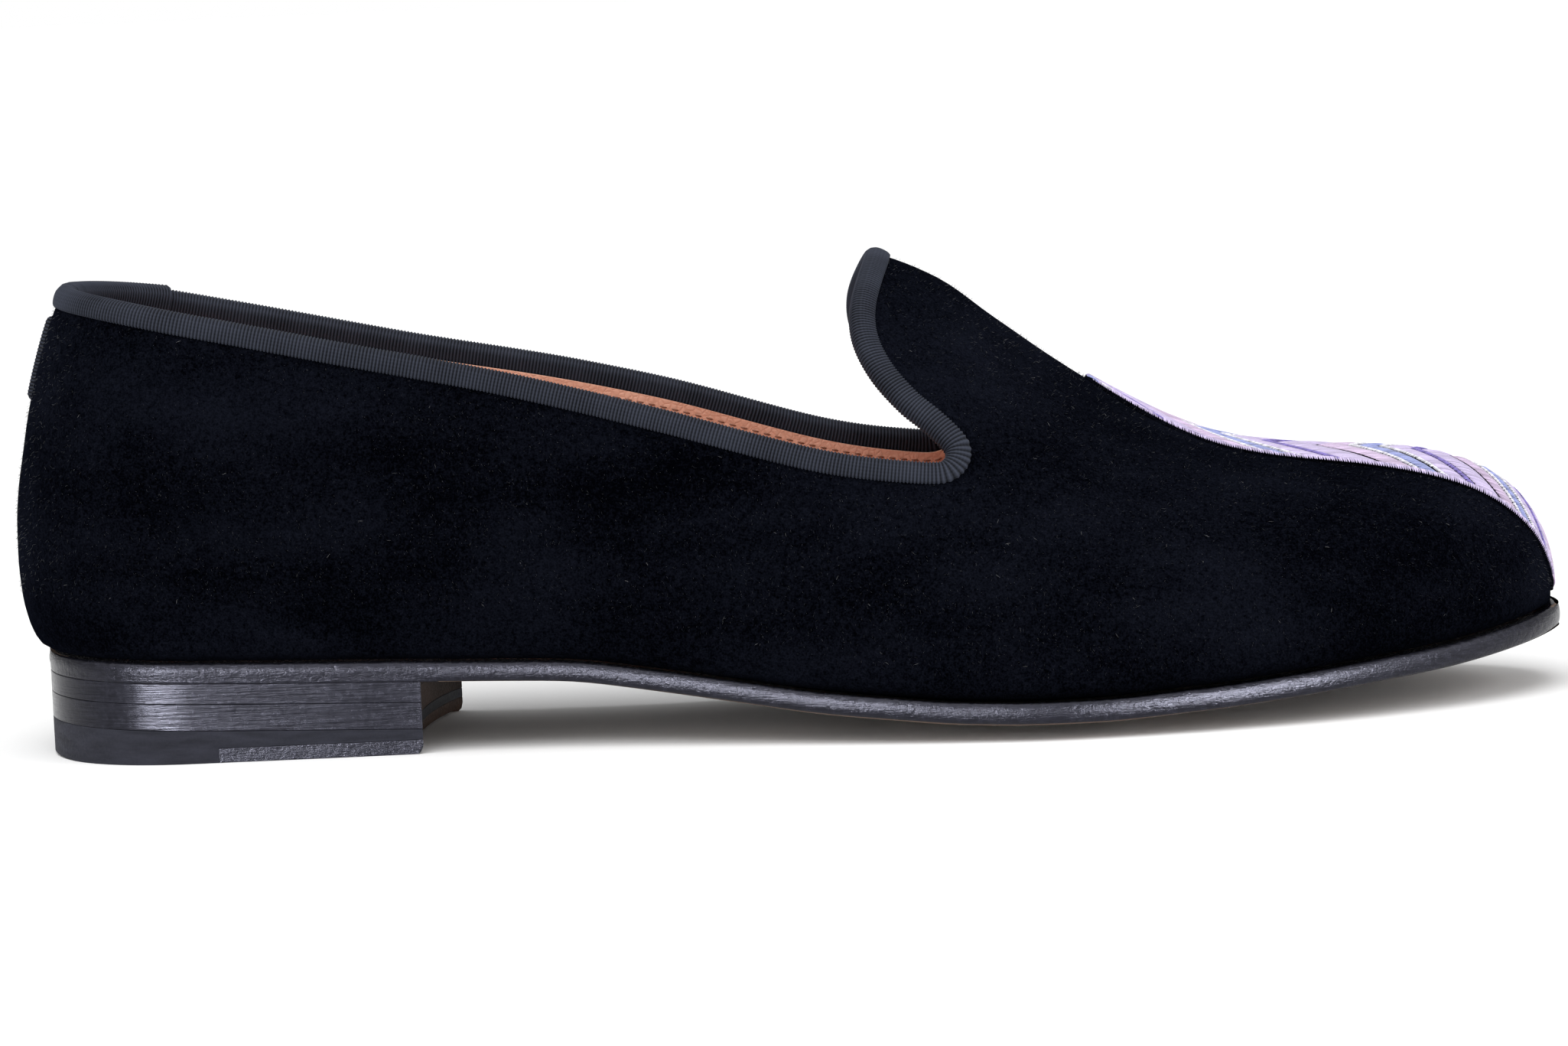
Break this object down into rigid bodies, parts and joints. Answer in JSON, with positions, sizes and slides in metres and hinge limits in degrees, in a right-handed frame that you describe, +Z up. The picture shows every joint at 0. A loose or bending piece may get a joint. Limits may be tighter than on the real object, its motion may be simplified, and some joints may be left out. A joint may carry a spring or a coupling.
{
  "type": "velvet slipper loafer",
  "caption": "Low-cut velvet slipper loafer for a right foot, with a bound collar and tongue, embroidered toe, leather sole and a low built heel.",
  "frame": {"origin": "on the flat rubber tread under the heel, on the heel's long axis, 22.5 mm in front of the rearmost point of the last's outline", "axes": "+X runs from heel to toe, +Z is up, and the outer side of the foot is -Y"},
  "size_m": [0.2893, 0.0989, 0.0876],
  "materials": {
    "velvet": "short dense pile, near black with a navy tint",
    "grosgrain": "fine ribs across the tape, slate grey",
    "embroidery": "satin stitch in lavender, lilac and periwinkle",
    "insole_leather": "smooth tan lining leather",
    "sole_leather": "painted edge, semi-gloss, slightly mottled",
    "heel_leather": "stacked leather, black, polished",
    "heel_rubber": "matt dark grey rubber"
  },
  "bodies": {
    "root": {"upper": "velvet", "topline_binding": "grosgrain", "back_strip": "grosgrain", "vamp_embroidery": "embroidery", "insole": "insole_leather", "outsole": "sole_leather", "heel_lift_upper": "heel_leather", "heel_lift_lower": "heel_leather", "heel_front_quarter": "heel_leather", "heel_rubber": "heel_rubber"}
  },
  "joints": []
}
